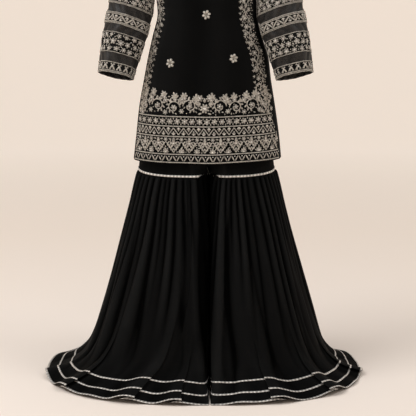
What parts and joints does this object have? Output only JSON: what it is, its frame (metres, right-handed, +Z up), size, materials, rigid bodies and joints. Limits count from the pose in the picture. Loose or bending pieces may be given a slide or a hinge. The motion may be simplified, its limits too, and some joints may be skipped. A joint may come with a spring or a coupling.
{
  "type": "farshi gharara suit",
  "caption": "Black farshi gharara suit in worn form: straight kameez with silver embroidery and sheer banded sleeves over gathered, floor-trailing divided skirt.",
  "frame": {"origin": "middle of the gharara's waistband, at its top edge, where the wearer holds it", "axes": "+Z up, +X to the viewer's right, -Y to the front of the suit"},
  "size_m": [1.0803, 0.9478, 1.4994],
  "materials": {
    "georgette": "matte crepe",
    "sheer_net": "sheer organza",
    "embroidery": "antique silver thread on black",
    "gota": "woven silver ribbon"
  },
  "bodies": {
    "root": {"kameez_front": "georgette", "kameez_back": "georgette", "waistband": "georgette", "sleeve_left": "sheer_net", "sleeve_left_band_1": "embroidery", "sleeve_left_band_2": "embroidery", "sleeve_left_band_3": "embroidery", "sleeve_left_band_4": "embroidery", "upper_leg_left_front": "georgette", "flare_left_front": "georgette", "upper_leg_left_back": "georgette", "flare_left_back": "georgette", "gota_joint_left": "gota", "gota_inner_left": "gota", "gota_middle_left": "gota", "gota_hem_left": "gota", "sleeve_right": "sheer_net", "sleeve_right_band_1": "embroidery", "sleeve_right_band_2": "embroidery", "sleeve_right_band_3": "embroidery", "sleeve_right_band_4": "embroidery", "upper_leg_right_front": "georgette", "flare_right_front": "georgette", "upper_leg_right_back": "georgette", "flare_right_back": "georgette", "gota_joint_right": "gota", "gota_inner_right": "gota", "gota_middle_right": "gota", "gota_hem_right": "gota"}
  },
  "joints": []
}
